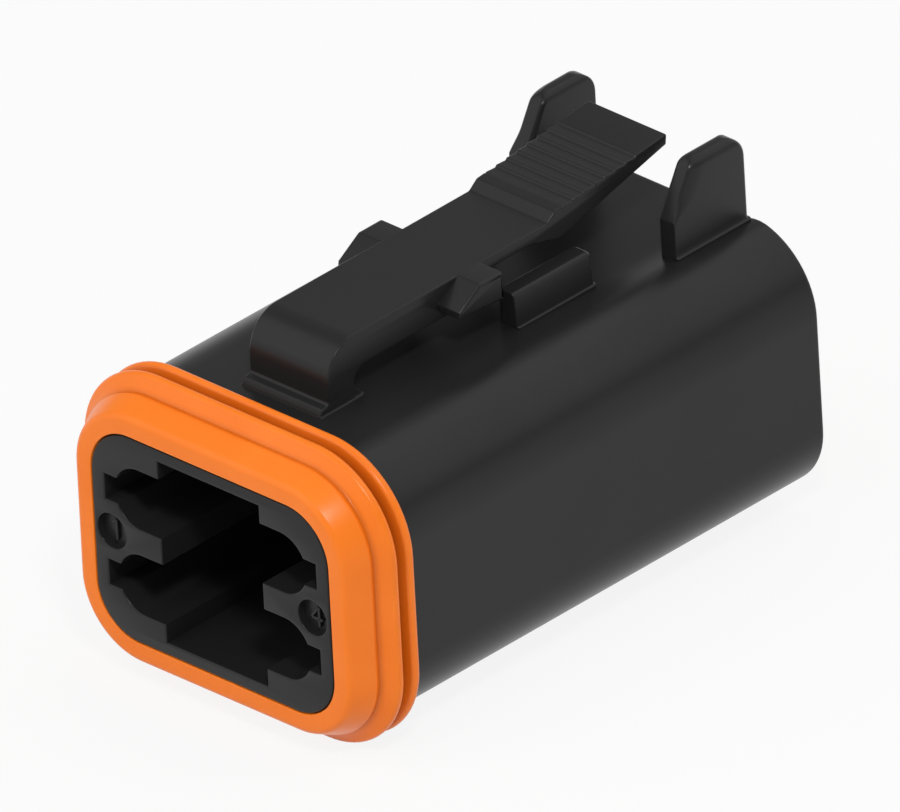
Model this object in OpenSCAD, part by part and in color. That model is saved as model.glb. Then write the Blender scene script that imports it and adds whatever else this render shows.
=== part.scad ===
// Sealed four-way plug connector for a vehicle loom, without its wedge lock and contacts.
// A moulded housing carries a front interface seal on its nose, a rear wire seal in its pocket
// and a snap latch that bends at its root. All sizes are in millimetres.
//
// The plug frame used inside the modules has x across the width, y from the mating face towards
// the wires and z up from the plug's axis. The model frame has its origin under the middle of
// the plug, at the height of the front seal's lowest line.

/* [Body] */
// Overall length from the mating face to the rear edge
body_length = 42.9; // [40:0.1:60]
// Width of the body behind the front seal
body_width = 24.9; // [23.5:0.1:30]
// Height of the body behind the front seal
body_height = 18.9; // [18:0.1:24]
// Radius of the body's two upper corners
body_corner_r = 5.5; // [4:0.1:6]
// Radius of the body's two lower corners
body_base_r = 5.1; // [4:0.1:6]
// Wall left round the pocket of the wire seal
body_wall = 1.6; // [1.2:0.1:2]

/* [Nose] */
// Length of the nose from the mating face to the body's shoulder
nose_length = 4.9; // [4.8:0.1:7]
// Width of the nose
nose_width = 20.5; // [20:0.1:21.5]
// Height of the nose
nose_height = 14.9; // [14.4:0.1:16]
// Corner radius of the nose
nose_corner_r = 3.4; // [2.5:0.1:4]

/* [Mating cavity] */
// Depth of the open front cavity
cavity_depth = 14; // [10:0.5:18]
// Width of the middle slot that takes the wedge lock
slot_width = 8.8; // [8:0.1:9.4]
// Height of the middle slot
slot_height = 13.2; // [12.6:0.1:13.4]
// Distance between the left and right contact centres
contact_pitch_x = 12.3; // [12:0.1:12.6]
// Distance between the upper and lower contact centres
contact_pitch_z = 6.25; // [6:0.05:6.4]
// Radius of the round lobe round each contact
lobe_r = 2.17; // [2:0.01:2.3]
// Distance between the outer ends of the side keyways
key_span = 18.4; // [17.6:0.1:18.6]
// Height of each side keyway
key_height = 1.85; // [1.4:0.05:2.2]
// Radius of the shallow round recess beside each keyway pair
recess_r = 1.35; // [1.1:0.05:1.4]
// Depth of the shallow round recess
recess_depth = 0.6; // [0.3:0.1:1]
// Distance between the two recess centres
recess_span = 17.4; // [17.2:0.1:17.6]

/* [Contact bores] */
// Radius of the bore that holds each contact
contact_bore_r = 1.95; // [1.7:0.05:2.05]
// Depth of the rear pocket, from the rear edge
pocket_depth = 11.4; // [10:0.1:14]

/* [Front seal] */
// Radial width of the seal's flat front face
seal_face = 1.15; // [0.8:0.05:1.2]
// Radius of the rounded edge round the front face
seal_edge_r = 0.2; // [0.1:0.05:0.3]
// Length of the tapered front part of the seal
seal_taper_length = 1.75; // [1.4:0.05:1.9]
// Thickness of the seal at the rear of its tapered front part
seal_taper_height = 2.12; // [1.8:0.02:2.3]
// Height of the two sealing lips above the nose
lip_height = 3.2; // [2.8:0.05:3.4]
// Tip radius of a sealing lip
lip_r = 0.34; // [0.2:0.02:0.4]
// Distance from the mating face to the first lip's tip
lip_setback = 2.94; // [2.8:0.02:3]
// Distance between the two lip tips
lip_pitch = 1.45; // [1.35:0.05:1.45]
// Thickness of the seal at the bottom of the groove between the lips
groove_height = 1.5; // [1.2:0.05:1.7]
// Gap between the seal's rear face and the body's shoulder
seal_gap = 0.1; // [0.02:0.02:0.2]
// Gap between the seal's bore and the nose
seal_fit = 0.02; // [0.01:0.01:0.05]

/* [Wire seal] */
// Length of the wire seal
wire_seal_length = 9; // [7:0.1:9.6]
// Radius of a wire hole between its sealing rings
wire_hole_r = 1.6; // [1.3:0.05:1.9]
// Radius of a wire hole at its sealing rings
wire_land_r = 1; // [0.8:0.05:1.2]
// Length of one sealing ring
wire_land_length = 0.8; // [0.5:0.1:1]
// Height of an outer sealing rib above the seal's block
wire_rib_height = 0.45; // [0.3:0.05:0.6]
// Length of an outer sealing rib
wire_rib_length = 1; // [0.6:0.1:1.4]
// Gap between the outer ribs and the pocket
wire_seal_fit = 0.05; // [0.02:0.01:0.1]

/* [Latch] */
// Width of the latch arm
arm_width = 6.86; // [6.2:0.02:7]
// Height of the arm's top above the body
arm_rise = 4.6; // [4.4:0.1:5.2]
// Thickness of the arm from its root to its ears
arm_thickness = 2.45; // [2.2:0.05:2.6]
// Thickness of the arm between its ears and its thumb pad
web_thickness = 0.85; // [0.7:0.05:1.2]
// Thickness of the arm's upright leg
leg_thickness = 2.4; // [2.2:0.1:2.6]
// Distance from the body's shoulder to the front of the leg
leg_setback = 2.9; // [2.6:0.1:3.4]
// Outer radius of the bend between leg and arm
bend_r = 2.6; // [2:0.1:3]
// Inner radius of the bend between leg and arm
bend_inner_r = 1.1; // [0.6:0.1:1.3]
// Height of the pivot line above the body
hinge_rise = 1.45; // [1.35:0.05:1.6]
// Running clearance between the leg and its seat
hinge_fit = 0.05; // [0.03:0.01:0.08]
// Depth of the small step in front of the leg
foot_step = 0.8; // [0.5:0.1:1.2]
// Height of the small step in front of the leg
foot_step_height = 0.5; // [0.3:0.05:0.6]

/* [Latch ears] */
// Overall width across the two ears
ear_span = 10.7; // [9.6:0.1:11.2]
// Distance from the front of the leg to the front of the ears
ear_setback = 10.2; // [9.5:0.1:11]
// Length of an ear
ear_length = 4.1; // [3.6:0.1:4.4]
// Length of the ramp on the front of an ear
ear_ramp = 2; // [1.5:0.1:2.5]
// Height that the ramp rises
ear_ramp_rise = 1.25; // [0.9:0.05:1.4]
// Height of an ear at its rear face
ear_height = 2.05; // [1.8:0.05:2.2]
// Radius of the long outer edge of an ear
ear_edge_r = 0.25; // [0.2:0.05:0.6]

/* [Thumb pad] */
// Distance from the body's rear edge to the pad's rear end
pad_rear_gap = 3.6; // [3:0.1:5]
// Length of the pad from its front step to its rear end
pad_length = 11.2; // [10.6:0.1:12]
// Length of the front step of the pad
pad_step_length = 0.8; // [0.5:0.1:1]
// Rise of the front step of the pad
pad_step_rise = 0.58; // [0.4:0.02:0.8]
// Rise of the pad's top from its front step to its rear end
pad_rise = 1; // [0.6:0.05:1.4]
// Thickness of the pad's rear end
pad_tip = 0.72; // [0.6:0.02:1]
// Depth of the pad's underside below the arm's top, at its front
pad_keel = 1.55; // [1.2:0.05:1.7]
// Number of ridges across the pad
ridge_count = 8; // [4:1:8]
// Distance between two ridges
ridge_pitch = 0.957; // [0.8:0.001:1]
// Length of the steep front of a ridge
ridge_front = 0.16; // [0.1:0.02:0.3]
// Height of a ridge
ridge_height = 0.13; // [0.08:0.01:0.2]
// Distance from the pad's front step to the first ridge
ridge_setback = 0.8; // [0.6:0.05:1]

/* [Guard rails and fins] */
// Gap between the latch arm's side and a guard rail
rail_gap = 0.17; // [0.1:0.01:0.4]
// Thickness of a guard rail at its top
rail_thickness = 1.35; // [1.1:0.05:1.7]
// Height of a guard rail above the body
rail_height = 2.2; // [1.8:0.05:2.3]
// Length of a guard rail
rail_length = 6.8; // [5:0.1:7.5]
// Distance from the ears' rear face to the guard rails
rail_setback = 1.2; // [0.8:0.1:2]
// Radius of a guard rail's outer top edge
rail_edge_r = 0.35; // [0.2:0.05:0.6]
// Amount by which a guard rail is thicker at its base
rail_draft = 0.24; // [0:0.02:0.4]
// Distance between the inner faces of the two fins
fin_clear = 11.5; // [10.6:0.1:11.8]
// Thickness of a fin
fin_thickness = 1.5; // [1.2:0.1:1.8]
// Height of a fin above the body
fin_height = 6; // [5:0.1:7]
// Length of a fin at its base
fin_length = 6.4; // [5.5:0.1:7]
// Height at which the fin's front edge starts to slope
fin_bend_height = 2.55; // [1.5:0.05:3]
// Length that the sloping front edge runs back
fin_slope = 2.1; // [1.5:0.1:2.6]
// Radius of a fin's upper front corner
fin_corner_r = 1; // [0.6:0.1:1.2]
// Radius of a fin's upper rear corner
fin_heel_r = 0.6; // [0.3:0.1:1.2]
// Width of the rounding on the outer edge of a fin's sloping front
fin_round_width = 0.5; // [0.2:0.05:0.8]
// Depth of the rounding on the outer edge of a fin's sloping front
fin_round_depth = 1.3; // [0.4:0.1:1.6]
// Distance from the body's rear edge to the fins
fin_rear_gap = 0.8; // [0.3:0.1:1.5]
// Depth of the shallow channel under the latch, at the body's rear edge
channel_depth = 0.65; // [0.3:0.05:0.8]
// Width of the channel's floor
channel_width = 11.6; // [11:0.1:12]

/* [Hidden] */

// Faces on a full circle
$fn = 64;
// Overlap that lets a cut pass clean through a face
cut = 1;
// Colours of the moulding and of the silicone
moulding_colour = [0.23, 0.23, 0.23];
silicone_colour = [0.98, 0.53, 0.25];

// Height of the plug's axis over the lowest line of the front seal
axis_height = nose_height / 2 + lip_height;
body_top = body_height / 2;
arm_top = body_top + arm_rise;
// Contact centres, and the four quadrant signs that place them
contact_x = contact_pitch_x / 2;
contact_z = contact_pitch_z / 2;
quadrants = [[-1, 1], [1, 1], [-1, -1], [1, -1]];

// Rear pocket and its seal
pocket_width = body_width - 2 * body_wall;
pocket_height = body_height - 2 * body_wall;
pocket_r = body_corner_r - body_wall;
pocket_base_r = body_base_r - body_wall;
pocket_front = body_length - pocket_depth;

// Latch stations along the plug
leg_front = nose_length + leg_setback;
leg_rear = leg_front + leg_thickness;
hinge_y = leg_front + leg_thickness / 2;
hinge_z = body_top + hinge_rise;
ear_front = leg_front + ear_setback;
ear_rear = ear_front + ear_length;
pad_rear = body_length - pad_rear_gap;
pad_front = pad_rear - pad_length;
pad_top = arm_top + pad_step_rise;
keel_y = pad_front + pad_step_length + 0.4;
keel_blend = 2.7;
rail_front = ear_rear + rail_setback;
fin_rear = body_length - fin_rear_gap;
fin_front = fin_rear - fin_length;

// Points on an arc about [cx, cz] from angle a0 to a1, in steps
function arc(cx, cz, r, a0, a1, steps = 8) =
    [for (i = [0 : steps]) let (a = a0 + (a1 - a0) * i / steps) [cx + r * cos(a), cz + r * sin(a)]];

// Moves the plug frame into the model frame
module plug_frame() {
    translate([0, -body_length / 2, axis_height]) children();
}

// Extrudes an x-z outline along the plug from y0 to y1
module along(y0, y1) {
    translate([0, y1, 0]) rotate([90, 0, 0]) linear_extrude(y1 - y0) children();
}

// Extrudes a y-z outline across the plug from x0 to x1
module across(x0, x1) {
    translate([x0, 0, 0]) rotate([90, 0, 90]) linear_extrude(x1 - x0) children();
}

// Rounded rectangle about the origin, with one radius above the middle and one below it
module rounded_rect(w, h, r, base_r) {
    for (half = [[1, r], [-1, base_r]]) {
        half_r = half[1];
        translate([0, half[0] * h / 4]) square([w - 2 * half_r, h / 2], center = true);
        translate([0, half[0] * (h / 2 - half_r) / 2]) square([w, h / 2 - half_r], center = true);
        for (side = [-1, 1])
            translate([side * (w / 2 - half_r), half[0] * (h / 2 - half_r)]) circle(half_r);
    }
}

// Outline of the open front cavity: middle slot, four lobes and their side keyways
module cavity_outline() {
    square([slot_width, slot_height], center = true);
    for (q = quadrants)
        translate([0, q[1] * contact_z]) {
            translate([q[0] * contact_x, 0]) circle(lobe_r);
            translate([q[0] * contact_x / 2, 0]) square([contact_x, 2 * lobe_r], center = true);
            translate([q[0] * key_span / 4, 0]) square([key_span / 2, key_height], center = true);
        }
}

// Everything that is cut out of the housing
module housing_hollows() {
    along(-cut, cavity_depth) cavity_outline();
    for (q = quadrants)
        translate([q[0] * contact_x, cavity_depth - cut, q[1] * contact_z])
            rotate([-90, 0, 0]) cylinder(r = contact_bore_r, h = pocket_front - cavity_depth + 2 * cut);
    along(pocket_front, body_length + cut)
        rounded_rect(pocket_width, pocket_height, pocket_r, pocket_base_r);
    for (side = [-1, 1])
        translate([side * recess_span / 2, -cut, 0])
            rotate([-90, 0, 0]) cylinder(r = recess_r, h = cut + recess_depth);
}

// Shallow channel under the latch, sinking from the leg to the rear edge
module channel_cut() {
    run = body_length - leg_rear;
    side_slope = 1.8;
    depth = 3;
    outline = [
        [-channel_width / 2, 0], [channel_width / 2, 0],
        [channel_width / 2 + side_slope * depth, depth],
        [-channel_width / 2 - side_slope * depth, depth]
    ];
    translate([0, leg_rear, body_top]) rotate([-atan(channel_depth / run), 0, 0])
        along(0, run + 2 * cut) polygon(outline);
}

// Foot of the latch on the housing, with the round seat that the leg turns in
module latch_foot() {
    difference() {
        union() {
            across(-arm_width / 2, arm_width / 2) translate([leg_front, body_top - cut])
                square([leg_thickness, cut + hinge_rise]);
            across(-arm_width / 2, arm_width / 2) translate([leg_front - foot_step, body_top - cut])
                square([foot_step + cut, cut + foot_step_height]);
        }
        across(-arm_width, arm_width) translate([hinge_y, hinge_z])
            circle(leg_thickness / 2 + hinge_fit);
    }
}

// Guard rail beside the latch arm, for the side that the sign gives
module guard_rail(side) {
    inner = arm_width / 2 + rail_gap;
    outer = inner + rail_thickness;
    top = body_top + rail_height;
    edge = arc(outer - rail_edge_r, top - rail_edge_r, rail_edge_r, 0, 90, 6);
    outline = concat([[inner, body_top - cut], [outer + rail_draft, body_top - cut]], edge, [[inner, top]]);
    along(rail_front, rail_front + rail_length) polygon([for (p = outline) [side * p[0], p[1]]]);
}

// Section of a fin square to its sloping front: flat inside, rounded towards the outer edge
module fin_section(side, reach) {
    inner = fin_clear / 2;
    outer = inner + fin_thickness;
    rounding = [for (a = [0 : 90 / 8 : 90])
        [outer - fin_round_width * (1 - cos(a)), -fin_round_depth * (1 - sin(a))]];
    outline = concat([[inner, -reach], [outer, -reach]], rounding, [[inner, 0]]);
    polygon([for (p = outline) [side * p[0], p[1]]]);
}

// Fin beside the thumb pad, for the side that the sign gives
module guard_fin(side) {
    top = body_top + fin_height;
    base = body_top - 1.5 * cut;
    bend = body_top + fin_bend_height;
    lean = atan(fin_slope / (fin_height - fin_bend_height));
    front_top = fin_front + fin_slope + fin_corner_r * (1 - sin(lean)) / cos(lean);
    reach = 2 * fin_height;
    outline = concat(
        [[fin_front, base], [fin_rear, base]],
        arc(fin_rear - fin_heel_r, top - fin_heel_r, fin_heel_r, 0, 90, 8),
        arc(front_top, top - fin_corner_r, fin_corner_r, 90, 180 - lean, 8),
        [[fin_front, bend]]
    );
    x0 = side > 0 ? fin_clear / 2 : -fin_clear / 2 - fin_thickness;
    intersection() {
        across(x0, x0 + fin_thickness) polygon(outline);
        translate([0, fin_front, bend]) rotate([90 - lean, 0, 0]) along(-reach, reach)
            fin_section(side, reach);
    }
}

// Moulded housing: nose, body, cavities, latch foot, guard rails and fins
module housing() {
    color(moulding_colour) plug_frame() difference() {
        union() {
            along(0, nose_length + cut) rounded_rect(nose_width, nose_height, nose_corner_r, nose_corner_r);
            difference() {
                along(nose_length, body_length) 
                    rounded_rect(body_width, body_height, body_corner_r, body_base_r);
                channel_cut();
            }
            latch_foot();
            for (side = [-1, 1]) {
                guard_rail(side);
                guard_fin(side);
            }
        }
        housing_hollows();
    }
}

// Side outline of the latch: leg, bend, arm, thin web, keel and ridged thumb pad
module latch_outline() {
    under = arm_top - arm_thickness;
    web_under = arm_top - web_thickness;
    keel_z = arm_top - pad_keel;
    tip_z = pad_top + pad_rise;
    crest = pad_front + pad_step_length;
    slope = pad_rise / (pad_rear - crest);
    ridges = [for (i = [ridge_count - 1 : -1 : 0]) let (s = ridge_setback + i * ridge_pitch) each [
        [crest + s + ridge_front / 2, pad_top + slope * s],
        [crest + s - ridge_front / 2, pad_top + slope * s - ridge_height]
    ]];
    outline = concat(
        [[leg_front, hinge_z], [leg_rear, hinge_z]],
        arc(leg_rear + bend_inner_r, under - bend_inner_r, bend_inner_r, 180, 90, 8),
        [
            [ear_rear, under], [ear_rear, web_under], [keel_y - keel_blend, web_under],
            [keel_y - keel_blend / 2, web_under - 0.25], [keel_y, keel_z],
            [pad_rear, tip_z - pad_tip], [pad_rear, tip_z]
        ],
        ridges,
        [[crest, pad_top], [pad_front, arm_top]],
        arc(leg_front + bend_r, arm_top - bend_r, bend_r, 90, 180, 12)
    );
    polygon(outline);
    translate([hinge_y, hinge_z]) circle(leg_thickness / 2);
}

// Side outline of an ear: front ramp, flat top and upright rear face
module ear_outline() {
    polygon([
        [ear_front, arm_top - ear_ramp_rise - 0.45], [ear_rear, arm_top - ear_height],
        [ear_rear, arm_top], [ear_front + ear_ramp, arm_top], [ear_front, arm_top - ear_ramp_rise]
    ]);
}

// Snap latch that turns about its root, with two catch ears and a ridged thumb pad
module latch_lever() {
    ear_drop = ear_height + 1;
    color(moulding_colour) plug_frame() union() {
        across(-arm_width / 2, arm_width / 2) latch_outline();
        intersection() {
            across(-ear_span / 2, ear_span / 2) ear_outline();
            along(ear_front - cut, ear_rear + cut) translate([0, arm_top - ear_drop]) union() {
                translate([-ear_span / 2, 0]) square([ear_span, ear_drop - ear_edge_r]);
                translate([-ear_span / 2 + ear_edge_r, 0]) square([ear_span - 2 * ear_edge_r, ear_drop]);
                for (side = [-1, 1])
                    translate([side * (ear_span / 2 - ear_edge_r), ear_drop - ear_edge_r])
                        circle(ear_edge_r);
            }
        }
    }
}

// Section of the front seal: distance from the nose against distance from the mating face
module seal_section() {
    lip_root = 0.75;
    lip_flank = lip_height - lip_r;
    rear = nose_length - seal_gap;
    tips = [lip_setback, lip_setback + lip_pitch];
    mirror([0, 1]) polygon(concat(
        [[seal_fit, 0]],
        arc(seal_face, seal_edge_r, seal_edge_r, -90, 0, 4),
        [[seal_taper_height, seal_taper_length], [seal_taper_height, tips[0] - lip_root]],
        arc(lip_flank, tips[0], lip_r, -60, 60, 6),
        [[groove_height, tips[0] + lip_pitch / 2 - 0.1], [groove_height, tips[0] + lip_pitch / 2 + 0.1]],
        arc(lip_flank, tips[1], lip_r, -60, 60, 6),
        [[groove_height, rear], [seal_fit, rear]]
    ));
}

// Interface seal: the section carried round the nose, turned at the corners
module front_seal() {
    cx = nose_width / 2 - nose_corner_r;
    cz = nose_height / 2 - nose_corner_r;
    corners = [[cx, cz, 0], [-cx, cz, 90], [-cx, -cz, 180], [cx, -cz, 270]];
    color(silicone_colour) plug_frame() rotate([90, 0, 0]) for (c = corners) {
        run = c[2] % 180 == 0 ? 2 * cz : 2 * cx;
        translate([c[0], c[1], 0]) rotate([0, 0, c[2]]) {
            rotate_extrude(angle = 90) translate([nose_corner_r, 0]) seal_section();
            rotate([90, 0, 0]) linear_extrude(run) translate([nose_corner_r, 0]) seal_section();
        }
    }
}

// Wire seal: ribbed block in the rear pocket, with four ringed wire holes
module wire_seal() {
    block_drop = wire_seal_fit + wire_rib_height;
    ring_gap = (wire_seal_length - 3 * wire_land_length) / 2 - 1;
    color(silicone_colour) plug_frame() difference() {
        union() {
            along(pocket_front, pocket_front + wire_seal_length)
                rounded_rect(pocket_width - 2 * block_drop, pocket_height - 2 * block_drop,
                             pocket_r - block_drop, pocket_base_r - block_drop);
            for (i = [0 : 2]) {
                rib_y = pocket_front + 1 + i * (wire_seal_length - 2 - wire_rib_length) / 2;
                along(rib_y, rib_y + wire_rib_length)
                    rounded_rect(pocket_width - 2 * wire_seal_fit, pocket_height - 2 * wire_seal_fit,
                                 pocket_r - wire_seal_fit, pocket_base_r - wire_seal_fit);
            }
        }
        for (q = quadrants)
            translate([q[0] * contact_x, pocket_front, q[1] * contact_z]) rotate([-90, 0, 0]) {
                translate([0, 0, -cut]) cylinder(r = wire_land_r, h = wire_seal_length + 2 * cut);
                translate([0, 0, -cut]) cylinder(r = wire_hole_r, h = 1 + cut);
                translate([0, 0, 1 + wire_land_length]) cylinder(r = wire_hole_r, h = ring_gap);
                translate([0, 0, 1 + 2 * wire_land_length + ring_gap])
                    cylinder(r = wire_hole_r, h = ring_gap);
                translate([0, 0, wire_seal_length - 1]) cylinder(r = wire_hole_r, h = 1 + cut);
            }
    }
}

housing();
latch_lever();
front_seal();
wire_seal();
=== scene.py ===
"""Looks of a sealed four-way plug housing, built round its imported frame.

The plug frame used by every builder below has x across the width, y from the mating face towards
the wires and z up from the plug's axis, all in millimetres. Skin.build() moves a finished piece into
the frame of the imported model, which is in metres.
"""

import logging
import math
from collections.abc import Sequence
from dataclasses import dataclass, field
from enum import Enum
from typing import Any

import bmesh
import bpy
import numpy as np
from mathutils import Matrix, Vector
from mathutils.geometry import tessellate_polygon
from numpy.typing import NDArray

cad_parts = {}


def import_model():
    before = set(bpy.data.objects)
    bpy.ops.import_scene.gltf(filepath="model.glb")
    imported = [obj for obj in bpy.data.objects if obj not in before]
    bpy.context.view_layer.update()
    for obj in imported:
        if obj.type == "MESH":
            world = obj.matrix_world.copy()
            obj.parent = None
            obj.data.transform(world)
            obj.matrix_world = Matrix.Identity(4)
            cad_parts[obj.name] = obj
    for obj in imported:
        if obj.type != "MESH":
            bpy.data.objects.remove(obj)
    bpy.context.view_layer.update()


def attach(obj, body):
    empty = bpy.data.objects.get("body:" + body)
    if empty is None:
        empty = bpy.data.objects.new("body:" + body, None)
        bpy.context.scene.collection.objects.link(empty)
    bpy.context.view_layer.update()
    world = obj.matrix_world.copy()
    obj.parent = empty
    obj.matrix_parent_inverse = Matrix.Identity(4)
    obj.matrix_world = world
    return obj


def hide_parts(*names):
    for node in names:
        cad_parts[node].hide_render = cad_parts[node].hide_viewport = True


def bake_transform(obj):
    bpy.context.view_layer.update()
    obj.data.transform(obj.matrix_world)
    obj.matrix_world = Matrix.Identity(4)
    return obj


Array = NDArray[np.float64]
Colour = tuple[float, float, float]
Corner = tuple[float, float, float]
LOG = logging.getLogger("plug")

# One millimetre in metres.
MILLIMETRE = 0.001

# Length of the plug and height of its axis over the floor, in millimetres.
BODY_LENGTH = 42.9
AXIS_HEIGHT = 10.65

# Sizes that more than one piece uses, in millimetres: the body's width and height, its wall, where
# its rear pocket starts, the nose's width, height and corner radius, the places (x, z) of the four
# contacts, and half of the latch's width.
BODY_SIZE = (24.9, 18.9)
WALL = 1.6
POCKET_FRONT = 31.5
NOSE_SIZE = (20.5, 14.9, 3.4)
CONTACT_X, CONTACT_Z = 6.15, 3.125
CONTACT_PLACES = [(x, z) for z in (CONTACT_Z, -CONTACT_Z) for x in (-CONTACT_X, CONTACT_X)]
LATCH_HALF_WIDTH = 3.43

# Points of a rounded section: on a quarter arc, on an upright side and on a level side.
QUARTER_POINTS = 19
UPRIGHT_POINTS = 12
LEVEL_POINTS = 34

# Width in millimetres of the straight band that follows a slab's rounded rim.
RIM_BAND = 0.04

# Points nearer than the first are merged and edges shorter than the second are dissolved, in metres.
MERGE_GAP = 2e-7
SHORT_EDGE = 1e-8

# Sockets of a colour Mix node by their places, because their names repeat.
MIX_FACTOR, MIX_FIRST, MIX_SECOND, MIX_RESULT = 0, 6, 7, 2

# The stretch of a noise factor that holds nearly all of its values.
NOISE_SPAN = (0.3, 0.7)


class Ride(Enum):
    """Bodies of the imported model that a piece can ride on."""

    PLUG = "plug"
    LATCH = "latch"
    BENDS = "bends from plug to latch"


class Slot(Enum):
    """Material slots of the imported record."""

    MOULDING = "moulding"
    SILICONE = "silicone"


class Lay(Enum):
    """Which way a flat outline is extruded.

    ACROSS runs across the plug and takes an outline of (y, z). ALONG runs along it and takes (x, z).
    """

    ACROSS = "across"
    ALONG = "along"


# ---- curves


def smooth_step(low: float, high: float, value: Array) -> Array:
    """Soft ramp 3t^2 - 2t^3 of a value, with t running from 0 at low to 1 at high."""
    t = np.clip((np.asarray(value, dtype=float) - low) / (high - low), 0.0, 1.0)
    return t * t * (3.0 - 2.0 * t)


def arc(
    centre: tuple[float, float], radii: tuple[float, float], start: float, stop: float, count: int
) -> Array:
    """Points centre + (a cos t, b sin t), with radii (a, b) and t from start to stop in degrees."""
    t = np.radians(np.linspace(start, stop, count))
    return np.column_stack([centre[0] + radii[0] * np.cos(t), centre[1] + radii[1] * np.sin(t)])


def ring_of(centre: tuple[float, float], radius: float, count: int = 48) -> Array:
    """Circle about centre with that radius, as count points without a repeated end."""
    return arc(centre, (radius, radius), 0.0, 360.0, count + 1)[:-1]


def quarter_round(radius: float, count: int = 5) -> list[tuple[float, float]]:
    """Rounded rim in pairs (along, inset): r (1 - cos t) and r (1 - sin t), t from 0 to 90 degrees."""
    turn = np.radians(np.linspace(0.0, 90.0, count))
    return [(radius * (1 - math.cos(t)), radius * (1 - math.sin(t))) for t in turn]


def fillet(corners: Sequence[Corner], count: int = 7) -> Array:
    """Closed outline with each corner (x, y, radius) replaced by its tangent arc.

    The arc starts and ends radius / tan(half the corner's angle) from the corner, and is carried by
    the quadratic curve through those two points whose pull is the corner, weighted to a circle.

    Args:
        corners: Corner points in order, with their radii.
        count: Points on each arc.

    Returns:
        The outline, one row per point.
    """
    points = np.array([c[:2] for c in corners], dtype=float)
    radii = np.array([c[2] for c in corners], dtype=float)
    back = np.roll(points, 1, axis=0) - points
    ahead = np.roll(points, -1, axis=0) - points
    back /= np.linalg.norm(back, axis=1)[:, None]
    ahead /= np.linalg.norm(ahead, axis=1)[:, None]
    half = np.arccos(np.clip((back * ahead).sum(axis=1), -1.0, 1.0)) / 2.0
    reach = np.maximum(radii / np.tan(half), 1e-6)[:, None]
    first, last = (points + back * reach)[:, None], (points + ahead * reach)[:, None]
    t = np.linspace(0.0, 1.0, count)[None, :, None]
    weight = np.sin(half)[:, None, None]
    lower = (1 - t) ** 2 + 2 * weight * t * (1 - t) + t**2
    curve = (1 - t) ** 2 * first + 2 * weight * t * (1 - t) * points[:, None] + t**2 * last
    return tidy((curve / lower).reshape(-1, 2))


def tidy(outline: Array) -> Array:
    """The closed outline without points that repeat the one before them."""
    gap = np.linalg.norm(outline - np.roll(outline, 1, axis=0), axis=1)
    return outline[gap > 1e-4]


def inset(outline: Array, depth: float) -> Array:
    """Closed counter-clockwise outline moved inwards: each point goes along its mitred normal.

    Args:
        outline: Points of the outline.
        depth: Distance inwards, negative for outwards.

    Returns:
        The moved outline.
    """
    before = outline - np.roll(outline, 1, axis=0)
    after = np.roll(outline, -1, axis=0) - outline
    before /= np.linalg.norm(before, axis=1)[:, None]
    after /= np.linalg.norm(after, axis=1)[:, None]
    normal_a = np.column_stack([before[:, 1], -before[:, 0]])
    normal_b = np.column_stack([after[:, 1], -after[:, 0]])
    shared = np.maximum(1.0 + (normal_a * normal_b).sum(axis=1), 0.5)[:, None]
    return outline - depth * (normal_a + normal_b) / shared


def eased(count: int) -> Array:
    """Interior fractions (1 - cos(pi t)) / 2, closer together towards both ends."""
    return (1.0 - np.cos(np.pi * np.arange(1, count + 1) / (count + 1))) / 2.0


def rounded_section(width: float, height: float, top_r: float, base_r: float) -> Array:
    """Rounded rectangle about the axis with the same number of points whatever its size.

    Four quarter arcs are joined by straight runs whose points crowd towards the arcs.

    Args:
        width: Full width.
        height: Full height.
        top_r: Radius of the two upper corners.
        base_r: Radius of the two lower corners.

    Returns:
        The outline, counter-clockwise from the lower right corner.
    """
    corners = [
        (1, -1, base_r, -90.0, UPRIGHT_POINTS), (1, 1, top_r, 0.0, LEVEL_POINTS),
        (-1, 1, top_r, 90.0, UPRIGHT_POINTS), (-1, -1, base_r, 180.0, LEVEL_POINTS),
    ]
    arcs = [
        arc((sx * (width / 2 - r), sz * (height / 2 - r)), (r, r), start, start + 90.0, QUARTER_POINTS)
        for sx, sz, r, start, _ in corners
    ]
    runs = []
    for here, ahead, (*_, count) in zip(arcs, arcs[1:] + arcs[:1], corners):
        share = eased(count)[:, None]
        runs += [here, here[-1] * (1 - share) + ahead[0] * share]
    return np.vstack(runs)


def lay_out(outline: Array, lay: Lay, place: float) -> Array:
    """Puts a flat outline into the plug frame.

    Args:
        outline: Points of the outline.
        lay: Which way it is extruded.
        place: Its x when that is across the plug, or its y when it is along the plug.

    Returns:
        The points in the plug frame.
    """
    third = np.full(len(outline), place)
    if lay is Lay.ACROSS:
        return np.column_stack([third, outline[:, 0], outline[:, 1]])
    return np.column_stack([outline[:, 0], third, outline[:, 1]])


# ---- skins


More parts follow.
